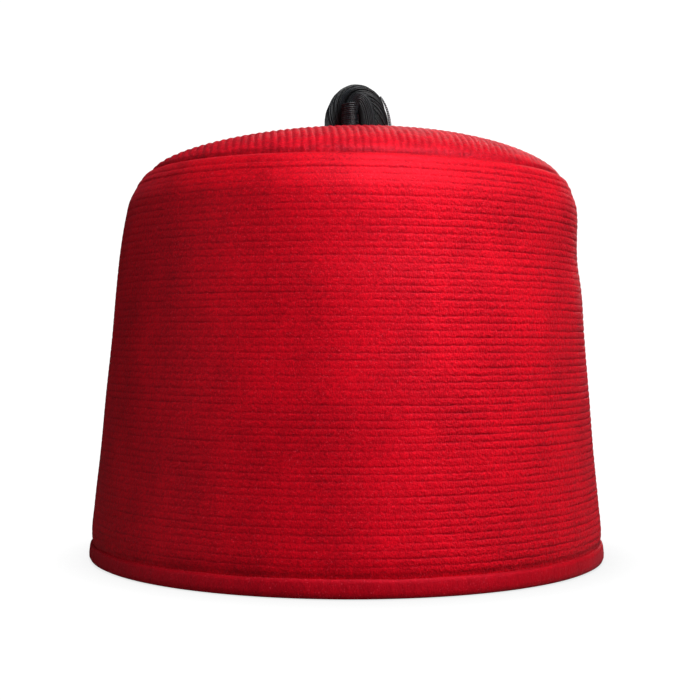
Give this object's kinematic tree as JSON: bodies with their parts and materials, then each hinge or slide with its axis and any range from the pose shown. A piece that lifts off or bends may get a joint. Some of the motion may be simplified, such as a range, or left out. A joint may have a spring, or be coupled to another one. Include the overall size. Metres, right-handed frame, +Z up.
{
  "type": "fez hat",
  "caption": "Tall red fez of corded velvet with a soft padded crown, a bound rim and a black silk tassel knotted at the middle of the crown.",
  "frame": {"origin": "centre of the rim, on the surface that the hat rests on", "axes": "+Z up through the crown, -Y to the front, +X to the right as seen from the front; the tassel falls to +Y"},
  "size_m": [0.1902, 0.1902, 0.1753],
  "materials": {
    "corded_velvet": "ribbed cotton velvet, soft matt pile with a pinkish sheen",
    "plain_velvet": "smooth short velvet pile",
    "black_silk": "rayon silk thread with a cool satin shine",
    "silver_thread": "metallised thread twisted with black"
  },
  "bodies": {
    "root": {"side_wall": "corded_velvet", "crown_top": "corded_velvet", "rim_binding": "plain_velvet", "tassel_loop": "black_silk", "tassel_knot": "black_silk", "tassel_skirt": "black_silk", "silver_twist": "silver_thread"}
  },
  "joints": []
}
